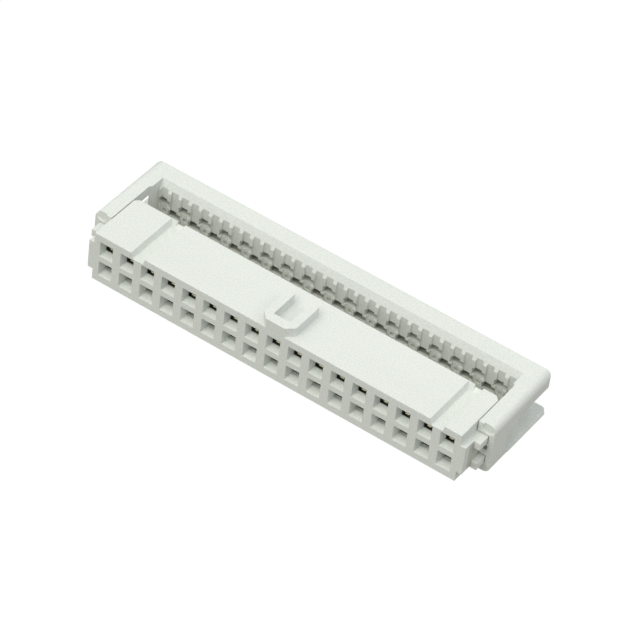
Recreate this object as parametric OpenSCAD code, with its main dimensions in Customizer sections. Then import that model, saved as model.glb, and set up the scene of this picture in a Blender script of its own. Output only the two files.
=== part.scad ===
// Two-row insulation-displacement socket for flat ribbon cable, with its cover raised to take
// the cable. X runs along the rows, Y from the mating face to the cover and Z up. The origin is
// the middle of the contact grid on the mating face.

/* [Contact grid] */
// Number of contact columns
columns = 17; // [8:1:25]
// Distance between contact columns, twice the pitch of the cable's wires
pitch = 2.54; // [2.5:0.02:2.8]
// Distance between the two contact rows
row_pitch = 2.54; // [2.4:0.02:2.6]

/* [Housing] */
// Wall from the last column's centre to the housing's end
end_wall = 1.51; // [1.45:0.01:1.8]
// Depth of the housing from the mating face to the cable side
housing_depth = 6.83; // [6.6:0.01:7.5]
// Height of the housing
housing_h = 6.14; // [6:0.02:6.5]
// Bevel along the housing's outer edges
housing_edge = 0.05; // [0.03:0.01:0.15]
// Cut across the two rear corners
rear_corner_cut = 0.5; // [0.2:0.05:0.8]

/* [Sockets] */
// Width of the lead-in at the mating face
lead_in_w = 1.6; // [1.4:0.05:1.75]
// Height of the lead-in at the mating face
lead_in_h = 1.85; // [1.6:0.05:1.85]
// Depth of the tapered lead-in
lead_in_depth = 0.8; // [0.5:0.05:0.9]
// Width of the square hole that the pin goes through
pin_hole_w = 1.2; // [0.9:0.05:1.25]
// Straight length of that hole behind the lead-in, on the side of the other row
hole_land_in = 0.1; // [0.05:0.05:0.2]
// Straight length of that hole behind the lead-in, on the outer side
hole_land_out = 0.5; // [0.3:0.05:0.6]
// Width of the chamber that holds a contact
chamber_w = 1.44; // [1.36:0.02:1.52]
// Reach of the chamber from the row's line towards the other row
chamber_in = 0.85; // [0.8:0.01:0.95]
// Reach of the chamber from the row's line towards the outside
chamber_out = 0.7; // [0.65:0.01:0.75]

/* [Contacts] */
// Thickness of the contact strip
strip_t = 0.25; // [0.2:0.01:0.3]
// Width of the spring leaves
leaf_w = 0.5; // [0.4:0.05:0.6]
// Shift of the leaves from the column's line, towards the blade
leaf_shift = 0.1; // [0:0.05:0.2]
// Gap between the two leaves where they grip the pin
leaf_gap = 0.4; // [0.3:0.05:0.5]
// Gap between the front wall and the leaf on the side of the other row
leaf_clear_in = 0.2; // [0.1:0.05:0.3]
// Gap between the front wall and the leaf on the outer side
leaf_clear_out = 0.2; // [0.1:0.05:0.3]
// Distance from the front tip of a leaf to where it grips
leaf_nose = 1.0; // [0.8:0.05:1.2]
// Distance from where a leaf grips to its root
leaf_run = 1.1; // [0.9:0.05:1.3]
// Length of the folded part that carries both leaves
fold_len = 1.5; // [1:0.1:1.8]
// Width of the forked blade
blade_w = 1.16; // [1:0.02:1.2]
// How far the blades stand out of the housing
blade_reach = 1.85; // [1.6:0.05:2.1]
// Width of the slot that grips the wire
wire_slot_w = 0.3; // [0.2:0.02:0.36]
// Depth of that slot from the blade's tip
wire_slot_depth = 1.7; // [1.4:0.05:1.9]
// Length of the blade's pointed tip
blade_point = 0.4; // [0.3:0.05:0.5]
// Clearance round a contact in its chamber
contact_fit = 0.03; // [0.02:0.01:0.05]

/* [Polarising key] */
// Width of the key
key_w = 3.84; // [3:0.02:4.5]
// Length of the key along the housing's depth
key_len = 4.7; // [4:0.05:5.5]
// Distance from the mating face to the key
key_front = 0; // [0:0.05:0.4]
// Height of the key above the housing
key_rise = 1.1; // [0.6:0.02:1.2]
// Thickness of the key's two legs
key_leg = 0.95; // [0.5:0.05:1.1]
// Thickness of the key's front bar
key_bar = 1.1; // [0.7:0.05:1.4]
// Cut across the key's two front corners
key_corner = 0.8; // [0.4:0.05:1]

/* [Coding grooves] */
// Width of a groove at the housing's top
groove_w = 1.7; // [1.4:0.02:1.8]
// Width of a groove at its floor
groove_floor_w = 1.24; // [0.8:0.02:1.3]
// Depth of a groove
groove_depth = 0.72; // [0.6:0.02:0.8]
// Length of the ramp that closes a groove at the cable side
groove_ramp = 0.4; // [0.3:0.02:0.8]
// Drop of the ramp's right half below the housing's top
groove_step = 0.38; // [0.3:0.01:0.5]
// Distance from the groove's middle to the step between the ramp's two halves
groove_split = 0.12; // [0:0.02:0.2]

/* [End latches] */
// Thickness of the guide rib on each end
rib_t = 0.61; // [0.4:0.01:0.8]
// Height of the guide rib
rib_h = 3.5; // [3.2:0.1:3.6]
// Length of the guide rib from the mating face
rib_len = 5.9; // [4:0.1:6.2]
// How far the catches stand out of the rib
catch_out = 0.77; // [0.5:0.01:0.9]
// Height of each of the two catches
catch_h = 0.85; // [0.5:0.05:0.9]
// Distance from the mating face to the catches
catch_front = 1.4; // [1.2:0.05:1.7]
// Length of a catch before its ramp
catch_len = 1.6; // [1:0.05:1.7]
// Length of the ramp behind a catch
catch_ramp = 0.55; // [0.4:0.05:0.8]

/* [Cover] */
// Way that the cover moves when it is pressed home
closing_travel = 2.7; // [2.3:0.05:2.8]
// Room left for the cable between housing and cover when closed
cable_room = 0.92; // [0.8:0.01:1.1]
// Height of the cover
cover_h = 6.1; // [5.9:0.02:6.3]
// Thickness of the cover's bar, measured from its ridges
bar_t = 2.68; // [2.5:0.01:3.2]
// Rounding of the cover's long outer edges
cover_round = 0.8; // [0.4:0.05:1]
// Rounding of the cover's two rear corners
cover_corner = 0.5; // [0.3:0.05:0.6]
// Clearance between the housing and the cover's arms
arm_fit = 0.1; // [0.08:0.01:0.2]
// Distance from the mating face to the arms' front ends when closed
arm_inset = 0.1; // [0.05:0.05:0.3]
// How far the arms stand in next to the bar, behind the housing's cut corners
cheek_t = 0.23; // [0.1:0.01:0.25]
// Thickness of the wall that bridges an arm's front end, beyond the catches
bridge_t = 0.57; // [0.4:0.01:0.9]
// Length of that wall along the arm
bridge_len = 2.87; // [2.4:0.01:3]
// Height of the opening through that wall between the two catches
bridge_gap = 0.6; // [0.4:0.05:1]
// Height of that opening's upper edge above the middle of the cover
bridge_gap_top = 0.5; // [0.3:0.05:0.6]
// Radius of the round recess in the front end of each of an arm's two bars
recess_r = 0.7; // [0.5:0.05:0.75]
// Distance from the arm's outer side to the middle of that recess
recess_side = 0.75; // [0.6:0.05:0.9]
// Distance from the cover's top or bottom to the middle of that recess
recess_drop = 0.4; // [0.3:0.05:0.6]
// Depth of that recess
recess_depth = 0.2; // [0.1:0.05:0.4]
// Clearance of the arm's channel round the rib and its catches
channel_fit = 0.1; // [0.08:0.01:0.15]
// Length of that channel's slanted rear end, where it opens into the clamp slot
channel_runout = 1.7; // [0.8:0.1:1.9]
// Side clearance between the catches and the arm's front wall
catch_fit = 0.08; // [0.06:0.01:0.2]
// Height of the clamp slot's upper edge above the middle of the cover
clamp_slot_top = 1.33; // [1.1:0.01:1.7]
// Wall of the bar beyond the arm's inner face, behind the slot for a cable clamp
clamp_slot_wall = 0.45; // [0.3:0.05:0.6]
// How far the ledge under that slot stands out of the arm
ledge_out = 0.18; // [0.1:0.01:0.25]
// Thickness of that ledge
ledge_t = 0.25; // [0.15:0.05:0.4]
// Cut across the ledge's rear corner
ledge_corner = 0.6; // [0.3:0.05:0.8]

/* [Cable face] */
// Width of the grooves that hold the wires
wire_groove_w = 0.88; // [0.7:0.02:0.94]
// How much narrower those grooves are at their floor
wire_groove_draft = 0.08; // [0.04:0.02:0.2]
// Depth of those grooves
wire_groove_depth = 0.22; // [0.15:0.01:0.3]
// Height of the bevel that leads the cable in
cable_bevel_h = 1.05; // [0.5:0.05:1.2]
// Depth of that bevel
cable_bevel_d = 0.68; // [0.4:0.02:1]
// Clearance between a blade and the left side of its pocket
pocket_fit = 0.06; // [0.04:0.01:0.1]
// Extra room on the right side of each pocket
pocket_side = 0.2; // [0.1:0.02:0.24]
// Height of the pockets above the middle of the blades
pocket_up = 0.48; // [0.3:0.01:0.5]
// Depth of the pockets below the middle of the blades
pocket_down = 0.35; // [0.25:0.01:0.4]
// Free depth left behind the blades when the cover is closed
pocket_spare = 0.6; // [0.3:0.05:0.8]
// Radius of the dimples between the lower pockets
dimple_r = 0.28; // [0.2:0.01:0.32]
// Depth of those dimples below the floor of their groove
dimple_depth = 0.15; // [0.1:0.05:0.3]

/* [Hidden] */
plastic = "#dfe4dc";
plated = "#d9c98a";
round_fn = 64;
// How far a cut runs past the surface that it opens
cut_over = 1;

column_count = max(2, round(columns));
column_list = [0 : column_count - 1];
function column_x(i) = (i - (column_count - 1) / 2) * pitch;
function two_digits(i) = str(i < 9 ? "0" : "", i + 1);
function upper_name(i) = str("contact_a", two_digits(i));
function lower_name(i) = str("contact_b", two_digits(i));

housing_w = (column_count - 1) * pitch + 2 * end_wall;
housing_top = housing_h / 2;
front_wall_in = lead_in_depth + hole_land_in;
front_wall_out = lead_in_depth + hole_land_out;
blade_x = -pitch / 4;
blade_tip = housing_depth + blade_reach;
rib_x = housing_w / 2 + rib_t;
catch_x = rib_x + catch_out;

// The leaves' stations from the front: nose, grip and root
nose_in_y = front_wall_in + leaf_clear_in;
nose_out_y = front_wall_out + leaf_clear_out;
root_y = max(nose_in_y, nose_out_y) + leaf_nose + leaf_run;
fold_end = root_y + fold_len;

// The cover as it stands raised, ready for the cable
arm_x = housing_w / 2 + arm_fit;
cheek_x = arm_x - cheek_t;
cheek_front = closing_travel + housing_depth - rear_corner_cut + arm_fit;
channel_x = catch_x + catch_fit;
cover_x = channel_x + bridge_t;
cover_top = cover_h / 2;
bridge_front = closing_travel + arm_inset;
bridge_rear = bridge_front + bridge_len;
bar_front = housing_depth + cable_room + closing_travel;
bar_rear = bar_front + bar_t;
channel_top = rib_h / 2 + channel_fit;
channel_rear = max(cheek_front, closing_travel + rib_len + channel_fit);
catch_way = closing_travel + catch_front + catch_len + catch_ramp + channel_fit;
clamp_slot_x = arm_x + clamp_slot_wall;
pocket_depth = blade_reach - cable_room + pocket_spare;
blade_z = row_pitch / 2 - chamber_in + strip_t / 2;
wire_floor = bar_front + wire_groove_depth;
groove_columns = [1.5, column_count - 1.5];

// Flat outlines turned into bars along one axis of the part
module along_x(from, to) {
    translate([from, 0, 0]) rotate([90, 0, 90]) linear_extrude(to - from) children();
}

module along_y(from, to) {
    translate([0, to, 0]) rotate([90, 0, 0]) linear_extrude(to - from) children();
}

module along_z(from, to) {
    translate([0, 0, from]) linear_extrude(to - from) children();
}

module box(low, high) {
    translate(low) cube(high - low);
}

// A rectangle whose four corners are cut off at 45 degrees
module bevelled_rect(low, high, cut) {
    polygon([
        [low.x + cut, low.y], [high.x - cut, low.y], [high.x, low.y + cut], [high.x, high.y - cut],
        [high.x - cut, high.y], [low.x + cut, high.y], [low.x, high.y - cut], [low.x, low.y + cut]
    ]);
}

// A rectangle with round corners
module round_rect(low, high, r) {
    translate([low.x + r, low.y]) square([high.x - low.x - 2 * r, high.y - low.y]);
    translate([low.x, low.y + r]) square([high.x - low.x, high.y - low.y - 2 * r]);
    for (x = [low.x + r, high.x - r], y = [low.y + r, high.y - r])
        translate([x, y]) circle(r, $fn = round_fn);
}

// Both ends of the part are mirror images
module both_ends() {
    children();
    mirror([1, 0, 0]) children();
}

// The lower row is the upper row turned half a turn about the line of the pins
module at_socket(i, upper) {
    translate([column_x(i), 0, upper ? row_pitch / 2 : -row_pitch / 2])
        rotate([0, upper ? 0 : 180, 0])
            children();
}

// The moulded block: three bevelled outlines crossed with each other
module housing_block() {
    x = housing_w / 2;
    cut = rear_corner_cut;
    intersection() {
        along_x(-x, x) bevelled_rect([0, -housing_top], [housing_depth, housing_top], housing_edge);
        along_y(0, housing_depth) bevelled_rect([-x, -housing_top], [x, housing_top], housing_edge);
        along_z(-housing_top, housing_top)
            polygon([[-x, 0], [x, 0], [x, housing_depth - cut], [x - cut, housing_depth],
                [-x + cut, housing_depth], [-x, housing_depth - cut]]);
    }
}

// U-shaped key that keeps the socket from going into its shroud the wrong way round
module polarising_key() {
    x = key_w / 2;
    rear = key_front + key_len;
    inner_front = key_front + key_bar;
    along_z(housing_top - key_rise / 2, housing_top + key_rise)
        polygon([
            [-x, rear], [-x, key_front + key_corner], [-x + key_corner, key_front],
            [x - key_corner, key_front], [x, key_front + key_corner], [x, rear],
            [x - key_leg, rear], [x - key_leg, inner_front],
            [-x + key_leg, inner_front], [-x + key_leg, rear]
        ]);
}

// Guide rib on the right end, with an upper and a lower catch that slope towards the cover
module end_latch() {
    wall_x = housing_w / 2 - end_wall / 2;
    ramp_start = catch_front + catch_len;
    along_z(-rib_h / 2, rib_h / 2)
        translate([wall_x, 0]) square([rib_x - wall_x, rib_len]);
    for (low = [rib_h / 2 - catch_h, -rib_h / 2])
        along_z(low, low + catch_h)
            polygon([[wall_x, catch_front], [catch_x, catch_front], [catch_x, ramp_start],
                [rib_x, ramp_start + catch_ramp], [wall_x, ramp_start + catch_ramp]]);
}

// Section of a lead-in, wide at the mating face and as wide as the pin hole at its end
module lead_in_section(width) {
    flare = (width - pin_hole_w) / 2 / lead_in_depth;
    mouth = width / 2 + flare * cut_over;
    polygon([[-mouth, -cut_over], [mouth, -cut_over],
        [pin_hole_w / 2, lead_in_depth], [-pin_hole_w / 2, lead_in_depth]]);
}

// All lead-ins at once: tapered cuts along the columns crossed with tapered cuts along the rows
module lead_ins() {
    intersection() {
        along_z(-housing_top, housing_top)
            for (i = column_list)
                translate([column_x(i), 0]) lead_in_section(lead_in_w);
        along_x(-housing_w / 2, housing_w / 2)
            for (z = [-row_pitch / 2, row_pitch / 2])
                translate([0, z]) mirror([1, -1]) lead_in_section(lead_in_h);
    }
}

// Pin hole and contact chamber of the upper row, open on the cable side
module socket_chamber() {
    hole = pin_hole_w / 2;
    half = chamber_w / 2;
    rear = housing_depth + cut_over;
    strip_top = strip_t - chamber_in + contact_fit;
    box([-hole, lead_in_depth / 2, -hole], [hole, front_wall_out + hole, hole]);
    box([-half, front_wall_in, -chamber_in], [half, rear, 0]);
    box([-half, front_wall_out, -chamber_in], [half, rear, chamber_out]);
    box([blade_x - blade_w / 2 - contact_fit, root_y, -chamber_in], [half, rear, strip_top]);
}

// Half of the ramp that closes a coding groove, ending lower than the housing's top by drop
module groove_ramp_section(drop) {
    floor_z = housing_top - groove_depth;
    foot = housing_depth - groove_ramp;
    rear = housing_depth + 2 * cut_over;
    polygon([[foot, floor_z], [housing_depth, housing_top - drop], [rear, housing_top - drop],
        [rear, floor_z - cut_over], [foot, floor_z - cut_over]]);
}

// Groove in the housing's top, closed towards the cable by a ramp whose right half is lower
module coding_groove() {
    floor_z = housing_top - groove_depth;
    flare = (groove_w - groove_floor_w) / 2 / groove_depth;
    over = groove_w / 2 + flare * cut_over;
    difference() {
        along_y(-cut_over, housing_depth + cut_over)
            polygon([[-over, housing_top + cut_over], [-groove_floor_w / 2, floor_z],
                [groove_floor_w / 2, floor_z], [over, housing_top + cut_over]]);
        along_x(-over, -groove_split) groove_ramp_section(0);
        along_x(-cut_over, over) groove_ramp_section(groove_step);
    }
}

// Socket housing: one moulding with all chambers, the key, the grooves and the end latches
module housing() {
    color(plastic)
        difference() {
            union() {
                housing_block();
                polarising_key();
                both_ends() end_latch();
            }
            lead_ins();
            for (i = column_list, upper = [true, false])
                at_socket(i, upper) socket_chamber();
            for (i = groove_columns)
                translate([column_x(i), 0, 0]) coding_groove();
        }
}

// Flat strip of a contact: the base in the chamber and the forked blade beside it
module contact_strip_outline() {
    base = chamber_w / 2 - contact_fit;
    half = blade_w / 2;
    slot = wire_slot_w / 2;
    point = blade_point / 2;
    translate([-base, root_y - strip_t]) square([2 * base, fold_len + strip_t]);
    translate([blade_x, 0])
        difference() {
            polygon([[-half, root_y + contact_fit], [half, root_y + contact_fit],
                [half, blade_tip - blade_point], [half - point, blade_tip],
                [point - half, blade_tip], [-half, blade_tip - blade_point]]);
            polygon([[-slot, blade_tip - wire_slot_depth], [slot, blade_tip - wire_slot_depth],
                [slot, blade_tip - blade_point], [slot + point / 2, blade_tip + point],
                [-slot - point / 2, blade_tip + point], [-slot, blade_tip - blade_point]]);
        }
}

// Spring leaf seen from the side: from its root to the grip and out again to its nose.
// wall is the height of the chamber's wall that its root lies on.
module leaf_section(nose_y, wall) {
    grip_y = nose_y + leaf_nose;
    grip = leaf_gap / 2;
    nose = (wall + grip) / 2;
    polygon([
        [root_y, -wall], [root_y, strip_t - wall],
        [grip_y + strip_t / 2, -grip], [grip_y - strip_t / 2, -grip],
        [nose_y, strip_t / 2 - nose], [nose_y, -strip_t / 2 - nose],
        [grip_y - strip_t / 2, -grip - strip_t], [grip_y + strip_t / 2, -grip - strip_t]
    ]);
}

// Contact of the upper row, stamped and folded from one plated strip
module contact() {
    base = chamber_w / 2 - contact_fit;
    roof = chamber_out - contact_fit;
    leaf_left = -leaf_shift - leaf_w / 2;
    leaf_right = -leaf_shift + leaf_w / 2;
    color(plated)
        union() {
            along_z(-chamber_in, strip_t - chamber_in) contact_strip_outline();
            along_x(leaf_left, leaf_right) leaf_section(nose_in_y, chamber_in);
            along_x(leaf_left, leaf_right) mirror([0, 1]) leaf_section(nose_out_y, roof);
            box([base - strip_t, root_y - strip_t, -chamber_in], [base, fold_end, roof]);
            box([leaf_left, root_y - strip_t, roof - strip_t], [base, fold_end, roof]);
        }
}

// Plan of the cover: the bar behind the cable and an arm along each end of the housing
module cover_plan() {
    front = bridge_front - 2 * cover_corner;
    difference() {
        round_rect([-cover_x, bridge_front - cover_corner], [cover_x, bar_rear], cover_corner);
        polygon([[-arm_x, front], [arm_x, front], [arm_x, cheek_front], [cheek_x, cheek_front + cheek_t],
            [cheek_x, bar_front], [-cheek_x, bar_front],
            [-cheek_x, cheek_front + cheek_t], [-arm_x, cheek_front]]);
        translate([-cover_x - cut_over, front])
            square([2 * (cover_x + cut_over), 2 * cover_corner]);
    }
}

// Inside of the right arm: a channel for the rib, slots for the catches through the front wall,
// and behind that wall a slot to the outside for a cable clamp
module arm_inside() {
    front = bridge_front - cut_over;
    inner = arm_x - cut_over;
    rib_side = rib_x + channel_fit;
    along_z(-channel_top, channel_top)
        polygon([[inner, front], [rib_side, front], [rib_side, channel_rear + channel_runout],
            [arm_x, channel_rear], [inner, channel_rear]]);
    box([inner, front, bridge_gap_top - bridge_gap],
        [channel_x, bridge_rear + cut_over, bridge_gap_top]);
    box([clamp_slot_x, bridge_rear, -channel_top],
        [cover_x + cut_over, bar_rear + cut_over, clamp_slot_top]);
    for (end = [0, 1])
        mirror([0, 0, end]) {
            box([inner, front, rib_h / 2 - catch_h - channel_fit], [channel_x, catch_way, channel_top]);
            translate([cover_x - recess_side, bridge_front + recess_depth, cover_top - recess_drop])
                rotate([90, 0, 0])
                    cylinder(h = recess_depth + cut_over, r = recess_r, $fn = round_fn);
        }
}

// Thin ledge that carries a clamp's foot along the right arm, under the clamp slot
module slot_ledge() {
    side = cover_x + ledge_out;
    along_z(-channel_top - ledge_t, -channel_top)
        polygon([[clamp_slot_x, bridge_rear], [cover_x, bridge_rear], [side, bridge_rear + ledge_out],
            [side, bar_rear - ledge_corner], [side - ledge_corner, bar_rear], [clamp_slot_x, bar_rear]]);
}

// Bevel that leads the cable in along the cover's upper edge
module cable_bevel() {
    d = cable_bevel_d;
    h = cable_bevel_h;
    along_x(-cheek_x, cheek_x)
        polygon([[bar_front - d, cover_top - 2 * h], [bar_front + 2 * d, cover_top + h],
            [bar_front - d, cover_top + h]]);
}

// Groove for one wire, across the whole height of the cover's bar
module wire_groove() {
    mouth = wire_groove_w / 2;
    bottom = mouth - wire_groove_draft / 2;
    along_z(-cover_top - cut_over, cover_top + cut_over)
        polygon([[-mouth, bar_front - wire_groove_depth], [mouth, bar_front - wire_groove_depth],
            [mouth, bar_front], [bottom, wire_floor], [-bottom, wire_floor], [-mouth, bar_front]]);
}

// Pocket for the forked blade of the upper or the lower row
module blade_pocket() {
    side = blade_w / 2 + pocket_fit;
    box([-side, bar_front - wire_groove_depth, -pocket_down],
        [side + pocket_side, bar_front + pocket_depth, pocket_up]);
}

// Cover: one moulding with the wire grooves and the pockets that take the blades
module cover() {
    color(plastic)
        difference() {
            union() {
                intersection() {
                    along_y(bridge_front - cut_over, bar_rear + cut_over)
                        round_rect([-cover_x, -cover_top], [cover_x, cover_top], cover_round);
                    along_z(-cover_top - cut_over, cover_top + cut_over) cover_plan();
                }
                both_ends() slot_ledge();
            }
            both_ends() arm_inside();
            cable_bevel();
            mirror([0, 0, 1]) cable_bevel();
            for (i = column_list, side = [-1, 1])
                translate([column_x(i) + side * pitch / 4, 0, 0]) wire_groove();
            for (i = column_list, row = [-1, 1])
                translate([column_x(i) + row * blade_x, 0, row * blade_z]) blade_pocket();
            for (i = column_list)
                translate([column_x(i) + blade_x + pocket_side / 2, wire_floor + dimple_depth, -blade_z])
                    rotate([90, 0, 0])
                        cylinder(h = wire_groove_depth + dimple_depth, r = dimple_r, $fn = round_fn);
        }
}

housing();
cover();
for (i = column_list) {
    at_socket(i, true) contact();
    at_socket(i, false) contact();
}
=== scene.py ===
import math

import bpy
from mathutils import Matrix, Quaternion, Vector


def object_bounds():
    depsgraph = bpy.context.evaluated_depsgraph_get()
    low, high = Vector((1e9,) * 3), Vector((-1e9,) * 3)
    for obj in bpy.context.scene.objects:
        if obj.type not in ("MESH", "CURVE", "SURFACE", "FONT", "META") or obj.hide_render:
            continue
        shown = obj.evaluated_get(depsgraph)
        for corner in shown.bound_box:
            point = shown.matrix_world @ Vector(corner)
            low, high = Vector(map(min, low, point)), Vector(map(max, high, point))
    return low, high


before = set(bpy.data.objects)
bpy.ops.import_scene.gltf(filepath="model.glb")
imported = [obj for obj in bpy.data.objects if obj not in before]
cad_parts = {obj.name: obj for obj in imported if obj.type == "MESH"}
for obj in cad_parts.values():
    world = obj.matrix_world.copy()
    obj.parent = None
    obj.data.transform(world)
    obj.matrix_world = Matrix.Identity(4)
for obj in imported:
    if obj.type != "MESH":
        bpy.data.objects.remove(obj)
cad_low, cad_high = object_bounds()


# Socket housing
# One injection moulding in pale grey polyester. The mould's faces are spark-eroded, so they have
# a fine matt grain, the melt leaves faint streaks along the rows, and every edge is slightly round.
MM = 0.001
moulded_edge = 0.05 * MM


def soften_edges(piece, radius, segments):
    """Rounds a moulded or stamped piece's edges without touching its own mesh."""
    weld = piece.modifiers.new("join_faces", "WELD")
    weld.merge_threshold = 0.001 * MM
    flats = piece.modifiers.new("flat_faces", "DECIMATE")
    flats.decimate_type = "DISSOLVE"
    flats.angle_limit = math.radians(0.05)
    edge = piece.modifiers.new("edge_radius", "BEVEL")
    edge.width = radius
    edge.segments = segments
    edge.limit_method = "ANGLE"
    edge.angle_limit = math.radians(28)
    edge.use_clamp_overlap = True


def add_node(tree, kind, place, **settings):
    """Adds one shader node and sets its properties and its unlinked inputs."""
    node = tree.nodes.new(kind)
    node.location = place
    for name, value in settings.items():
        if hasattr(node, name):
            setattr(node, name, value)
        else:
            node.inputs[name.replace("_", " ").title()].default_value = value
    return node


def moulded_grain_group():
    """Grain, flow streaks and fibre specks of a moulded face, in the part's own coordinates."""
    streak_stretch = (0.2, 1.0, 1.0)
    streak_share = 0.4
    group = bpy.data.node_groups.new("moulded_grain", "ShaderNodeTree")
    for name, default in (("Grain per metre", 5200.0), ("Streaks per metre", 160.0)):
        socket = group.interface.new_socket(name, in_out="INPUT", socket_type="NodeSocketFloat")
        socket.default_value = default
    for name in ("Shade", "Gloss loss", "Height"):
        group.interface.new_socket(name, in_out="OUTPUT", socket_type="NodeSocketFloat")
    link = group.links.new
    into = add_node(group, "NodeGroupInput", (-900, 0))
    out = add_node(group, "NodeGroupOutput", (600, 0))
    position = add_node(group, "ShaderNodeTexCoord", (-900, 300))
    along_rows = add_node(group, "ShaderNodeMapping", (-650, -200), scale=streak_stretch)
    grain = add_node(group, "ShaderNodeTexNoise", (-400, 300), detail=3.0, roughness=0.65)
    streaks = add_node(group, "ShaderNodeTexNoise", (-400, -200), detail=4.0, roughness=0.55)
    specks = add_node(group, "ShaderNodeTexVoronoi", (-400, 50), feature="F1")
    speck_mask = add_node(group, "ShaderNodeMapRange", (-150, 50),
                          from_min=0.10, from_max=0.22, to_min=1.0, to_max=0.0)
    mottle = add_node(group, "ShaderNodeMapRange", (-150, 300),
                      from_min=0.36, from_max=0.64, to_min=0.0, to_max=0.6)
    shade = add_node(group, "ShaderNodeMath", (80, 100), operation="MULTIPLY_ADD")
    shade.inputs[1].default_value = streak_share
    link(position.outputs["Object"], grain.inputs["Vector"])
    link(position.outputs["Object"], specks.inputs["Vector"])
    link(position.outputs["Object"], along_rows.inputs["Vector"])
    link(along_rows.outputs["Vector"], streaks.inputs["Vector"])
    link(into.outputs["Grain per metre"], grain.inputs["Scale"])
    link(into.outputs["Grain per metre"], specks.inputs["Scale"])
    link(into.outputs["Streaks per metre"], streaks.inputs["Scale"])
    link(specks.outputs["Distance"], speck_mask.inputs["Value"])
    link(grain.outputs["Fac"], mottle.inputs["Value"])
    link(streaks.outputs["Fac"], shade.inputs[0])
    link(mottle.outputs["Result"], shade.inputs[2])
    link(shade.outputs["Value"], out.inputs["Shade"])
    link(speck_mask.outputs["Result"], out.inputs["Gloss loss"])
    link(grain.outputs["Fac"], out.inputs["Height"])
    return group


def inside_box_group():
    """Mask of what lies inside a box in the part's own coordinates, with a soft border; it places
    painted shade.
    """
    border_width = 0.2 * MM
    group = bpy.data.node_groups.new("inside_box", "ShaderNodeTree")
    for name in ("Low", "High"):
        group.interface.new_socket(name, in_out="INPUT", socket_type="NodeSocketVector")
    group.interface.new_socket("Mask", in_out="OUTPUT", socket_type="NodeSocketFloat")
    link = group.links.new
    into = add_node(group, "NodeGroupInput", (-900, 0))
    out = add_node(group, "NodeGroupOutput", (700, 0))
    position = add_node(group, "ShaderNodeTexCoord", (-900, 300))
    over_low = add_node(group, "ShaderNodeVectorMath", (-650, 200), operation="SUBTRACT")
    under_high = add_node(group, "ShaderNodeVectorMath", (-650, -50), operation="SUBTRACT")
    depth = add_node(group, "ShaderNodeVectorMath", (-400, 100), operation="MINIMUM")
    axes = add_node(group, "ShaderNodeSeparateXYZ", (-150, 100))
    least_xy = add_node(group, "ShaderNodeMath", (50, 150), operation="MINIMUM")
    least = add_node(group, "ShaderNodeMath", (250, 50), operation="MINIMUM")
    border = add_node(group, "ShaderNodeMapRange", (450, 0), from_max=border_width)
    link(position.outputs["Object"], over_low.inputs[0])
    link(into.outputs["Low"], over_low.inputs[1])
    link(into.outputs["High"], under_high.inputs[0])
    link(position.outputs["Object"], under_high.inputs[1])
    link(over_low.outputs["Vector"], depth.inputs[0])
    link(under_high.outputs["Vector"], depth.inputs[1])
    link(depth.outputs["Vector"], axes.inputs["Vector"])
    link(axes.outputs["X"], least_xy.inputs[0])
    link(axes.outputs["Y"], least_xy.inputs[1])
    link(least_xy.outputs["Value"], least.inputs[0])
    link(axes.outputs["Z"], least.inputs[1])
    link(least.outputs["Value"], border.inputs["Value"])
    link(border.outputs["Result"], out.inputs["Mask"])
    return group


def moulded_plastic(name, painted_shade_boxes):
    """Matt plastic whose tone wanders between two close greys, with shade painted into its colour in
    some hollows. Each such hollow is a box, as its extents along X, Y and Z in mm, and its painted
    shade colour."""
    light_grey = (0.810, 0.850, 0.805, 1.0)
    dark_grey = (0.660, 0.695, 0.652, 1.0)
    material = bpy.data.materials.new(name)
    material.use_nodes = True
    tree = material.node_tree
    link = tree.links.new
    shader = tree.nodes["Principled BSDF"]
    shader.inputs["IOR"].default_value = 1.52
    shader.inputs["Specular IOR Level"].default_value = 0.45
    grain = add_node(tree, "ShaderNodeGroup", (-900, 0), node_tree=moulded_grain)
    grey = add_node(tree, "ShaderNodeMix", (-600, 200), data_type="RGBA")
    grey.inputs["A"].default_value = dark_grey
    grey.inputs["B"].default_value = light_grey
    link(grain.outputs["Shade"], grey.inputs["Factor"])
    colour = grey.outputs["Result"]
    # Painted shade: inside each box the grey gives way to the box's darker colour.
    for extents, shade in painted_shade_boxes:
        shade_box_mask = add_node(tree, "ShaderNodeGroup", (-600, 500), node_tree=inside_box)
        shade_box_mask.inputs["Low"].default_value = [low * MM for low, high in extents]
        shade_box_mask.inputs["High"].default_value = [high * MM for low, high in extents]
        painted_shade_mix = add_node(tree, "ShaderNodeMix", (-300, 300), data_type="RGBA")
        painted_shade_mix.inputs["B"].default_value = (*shade, 1.0)
        link(shade_box_mask.outputs["Mask"], painted_shade_mix.inputs["Factor"])
        link(colour, painted_shade_mix.inputs["A"])
        colour = painted_shade_mix.outputs["Result"]
    gloss = add_node(tree, "ShaderNodeMapRange", (-300, -50), to_min=0.50, to_max=0.66)
    bump = add_node(tree, "ShaderNodeBump", (-300, -300), strength=0.35, distance=0.012 * MM)
    link(colour, shader.inputs["Base Color"])
    link(grain.outputs["Gloss loss"], gloss.inputs["Value"])
    link(gloss.outputs["Result"], shader.inputs["Roughness"])
    link(grain.outputs["Height"], bump.inputs["Height"])
    link(bump.outputs["Normal"], shader.inputs["Normal"])
    return material


moulded_grain = moulded_grain_group()
inside_box = inside_box_group()
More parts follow.
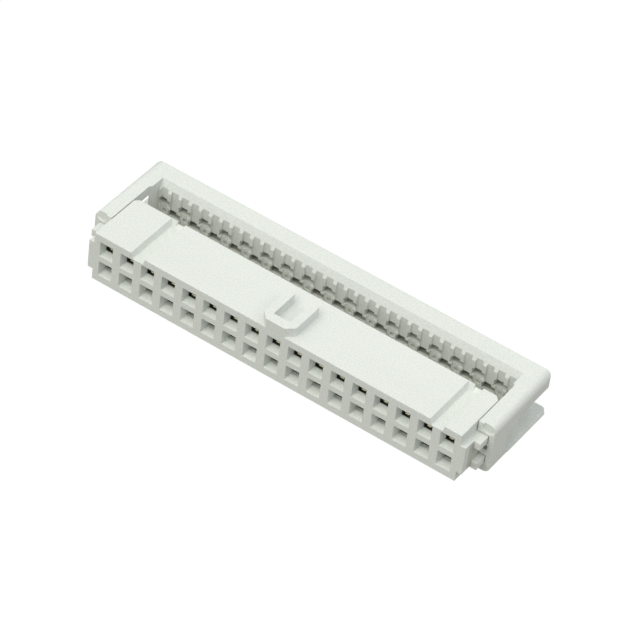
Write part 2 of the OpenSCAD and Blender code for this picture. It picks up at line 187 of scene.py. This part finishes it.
# Painted shade: the contact chambers are painted nearly black, and the end ribs' faces beside the
# cover's arms a darker grey.
socket_rows = (-21.3, 21.3)
chambers = (socket_rows, (1.2, 6.75), (-2.2, 2.2))
chamber_mouths = (socket_rows, (0.8, 6.75), (-1.25, 1.25))
right_rib_face = ((22.2, 22.66), (0.7, 4.0), (-1.9, 1.55))
left_rib_face = ((-22.66, -22.2), (0.7, 4.0), (-1.9, 1.55))
chamber_painted_shade = (0.10, 0.10, 0.09)
rib_painted_shade = (0.55, 0.56, 0.50)
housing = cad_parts["housing"]
housing.data.materials[0] = moulded_plastic("housing_plastic", [
    (chambers, chamber_painted_shade), (chamber_mouths, chamber_painted_shade),
    (right_rib_face, rib_painted_shade), (left_rib_face, rib_painted_shade)])
soften_edges(housing, moulded_edge, 2)


# Contacts
# Two rows of springs stamped and folded from phosphor bronze strip and pushed into the housing
# from the cable side. The leaves have a pale gold flash, and the forked blades are tinned.
stamped_edge = 0.025 * MM
gold_flash = (0.94, 0.94, 0.68, 1.0)
tin = (0.68, 0.67, 0.63, 1.0)
gold_end = 4.6 * MM
tin_start = 5.2 * MM
rolling_stretch = (1.0, 0.06, 1.0)
contact_metal = bpy.data.materials.new("contact_metal")
contact_metal.use_nodes = True
tree = contact_metal.node_tree
link = tree.links.new
shader = tree.nodes["Principled BSDF"]
shader.inputs["Metallic"].default_value = 1.0
position = add_node(tree, "ShaderNodeTexCoord", (-1100, 0))
axes = add_node(tree, "ShaderNodeSeparateXYZ", (-900, 100))
plating_edge = add_node(tree, "ShaderNodeMapRange", (-700, 100), from_min=gold_end, from_max=tin_start)
plating = add_node(tree, "ShaderNodeMix", (-400, 200), data_type="RGBA")
plating.inputs["A"].default_value = gold_flash
plating.inputs["B"].default_value = tin
rolled = add_node(tree, "ShaderNodeMapping", (-900, -250), scale=rolling_stretch)
lines = add_node(tree, "ShaderNodeTexNoise", (-700, -250), scale=16000.0, detail=3.0)
gloss = add_node(tree, "ShaderNodeMapRange", (-400, -100), to_min=0.12, to_max=0.26)
bump = add_node(tree, "ShaderNodeBump", (-400, -350), strength=0.25, distance=0.003 * MM)
link(position.outputs["Object"], axes.inputs["Vector"])
link(axes.outputs["Y"], plating_edge.inputs["Value"])
link(plating_edge.outputs["Result"], plating.inputs["Factor"])
link(plating.outputs["Result"], shader.inputs["Base Color"])
link(position.outputs["Object"], rolled.inputs["Vector"])
link(rolled.outputs["Vector"], lines.inputs["Vector"])
link(lines.outputs["Fac"], gloss.inputs["Value"])
link(gloss.outputs["Result"], shader.inputs["Roughness"])
link(lines.outputs["Fac"], bump.inputs["Height"])
link(bump.outputs["Normal"], shader.inputs["Normal"])
for name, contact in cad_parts.items():
    if name.startswith("contact_"):
        contact.data.materials[0] = contact_metal
        soften_edges(contact, stamped_edge, 1)


# Cover
# One moulding of the same plastic from a mould of its own. Its arms slide along the housing's ends,
# and it stands raised, so that a cable can go under its bar.
# Painted shade: the blade pockets behind the cable face are painted darker, the lower row more than
# the upper.
pocket_row = (-21.6, 21.6)
lower_pockets = (pocket_row, (10.74, 12.6), (-1.5, 0.0))
upper_pockets = (pocket_row, (10.9, 12.6), (0.0, 1.5))
lower_pocket_painted_shade = (0.44, 0.45, 0.40)
upper_pocket_painted_shade = (0.66, 0.68, 0.61)
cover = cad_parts["cover"]
cover.data.materials[0] = moulded_plastic("cover_plastic", [
    (lower_pockets, lower_pocket_painted_shade), (upper_pockets, upper_pocket_painted_shade)])
soften_edges(cover, moulded_edge, 2)


# Floor, light and camera
# A white table in a light tent, with a soft warm light high at the front and weaker ones round it.
# The camera sees table and tent as plain white, and from under the table it sees through it.
lamp_size = 0.4
lamp_white = (1.0, 0.975, 0.85)
middle = (cad_low + cad_high) / 2
for name, place, watts in (
        ("high_front_light", (-0.10, -0.28, 0.52), 1.56),
        ("low_front_light", (-0.12, -0.47, 0.35), 0.46),
        ("left_light", (-0.42, 0.007, 0.42), 0.58),
        ("rear_light", (0.0, 0.40, 0.45), 0.48),
        ("right_light", (0.42, 0.007, 0.42), 0.80)):
    lamp = bpy.data.lights.new(name, "AREA")
    lamp.shape = "SQUARE"
    lamp.size = lamp_size
    lamp.energy = watts
    lamp.color = lamp_white
    light = bpy.data.objects.new(name, lamp)
    light.location = place
    light.rotation_euler = (middle - light.location).to_track_quat("-Z", "Y").to_euler()
    bpy.context.scene.collection.objects.link(light)

plain_white = (1.0, 1.0, 1.0, 1.0)
tent_light = (0.375, 0.39, 0.465, 1.0)
world = bpy.data.worlds.new("light_tent")
world.use_nodes = True
tent = world.node_tree
tent_ray = add_node(tent, "ShaderNodeLightPath", (-600, 0))
tent_glow = add_node(tent, "ShaderNodeMix", (-300, 0), data_type="RGBA")
tent_glow.inputs["A"].default_value = tent_light
tent_glow.inputs["B"].default_value = plain_white
tent.links.new(tent_ray.outputs["Is Camera Ray"], tent_glow.inputs["Factor"])
tent.links.new(tent_glow.outputs["Result"], tent.nodes["Background"].inputs["Color"])
bpy.context.scene.world = world
bpy.context.scene.view_settings.view_transform = "Standard"

table_light = (0.42, 0.40, 0.345, 1.0)
table_dark = (0.02, 0.02, 0.02, 1.0)
floor_z = cad_low.z - 0.01 * MM
floor_corners = [(-3.0, -2.0), (3.0, -2.0), (3.0, 4.0), (-3.0, 4.0)]
floor_mesh = bpy.data.meshes.new("floor")
floor_mesh.from_pydata([(x, y, floor_z) for x, y in floor_corners], [], [(0, 1, 2, 3)])
floor = bpy.data.objects.new("floor", floor_mesh)
bpy.context.scene.collection.objects.link(floor)
floor_white = bpy.data.materials.new("floor_white")
floor_white.use_nodes = True
tree = floor_white.node_tree
link = tree.links.new
shader = tree.nodes["Principled BSDF"]
shader.inputs["Base Color"].default_value = table_dark
shader.inputs["Roughness"].default_value = 0.9
shader.inputs["Specular IOR Level"].default_value = 0.0
shader.inputs["Emission Strength"].default_value = 1.0
floor_ray = add_node(tree, "ShaderNodeLightPath", (-600, -200))
floor_glow = add_node(tree, "ShaderNodeMix", (-300, -200), data_type="RGBA")
floor_glow.inputs["A"].default_value = table_light
floor_glow.inputs["B"].default_value = plain_white
floor_side = add_node(tree, "ShaderNodeNewGeometry", (-600, -500))
seen_from_above = add_node(tree, "ShaderNodeMath", (-300, -500), operation="SUBTRACT")
seen_from_above.inputs[0].default_value = 1.0
link(floor_ray.outputs["Is Camera Ray"], floor_glow.inputs["Factor"])
link(floor_glow.outputs["Result"], shader.inputs["Emission Color"])
link(floor_side.outputs["Backfacing"], seen_from_above.inputs[1])
link(seen_from_above.outputs["Value"], shader.inputs["Alpha"])
floor_mesh.materials.append(floor_white)

azimuth, elevation, roll = (math.radians(angle) for angle in (29.468, 42.909, 7.781))
camera_aim = Vector((0.816, 7.099, 0.08)) * MM
camera_distance = 352.55 * MM
back = Vector((math.sin(azimuth) * math.cos(elevation), -math.cos(azimuth) * math.cos(elevation),
               math.sin(elevation)))
lens = bpy.data.cameras.new("camera")
lens.sensor_width = 36.0
lens.lens = 201.45
lens.clip_start = 0.01
lens.clip_end = 20.0
camera = bpy.data.objects.new("camera", lens)
camera.location = camera_aim + back * camera_distance
camera.rotation_mode = "QUATERNION"
camera.rotation_quaternion = (-back).to_track_quat("-Z", "Y") @ Quaternion((0, 0, 1), roll)
bpy.context.scene.collection.objects.link(camera)
bpy.context.scene.camera = camera
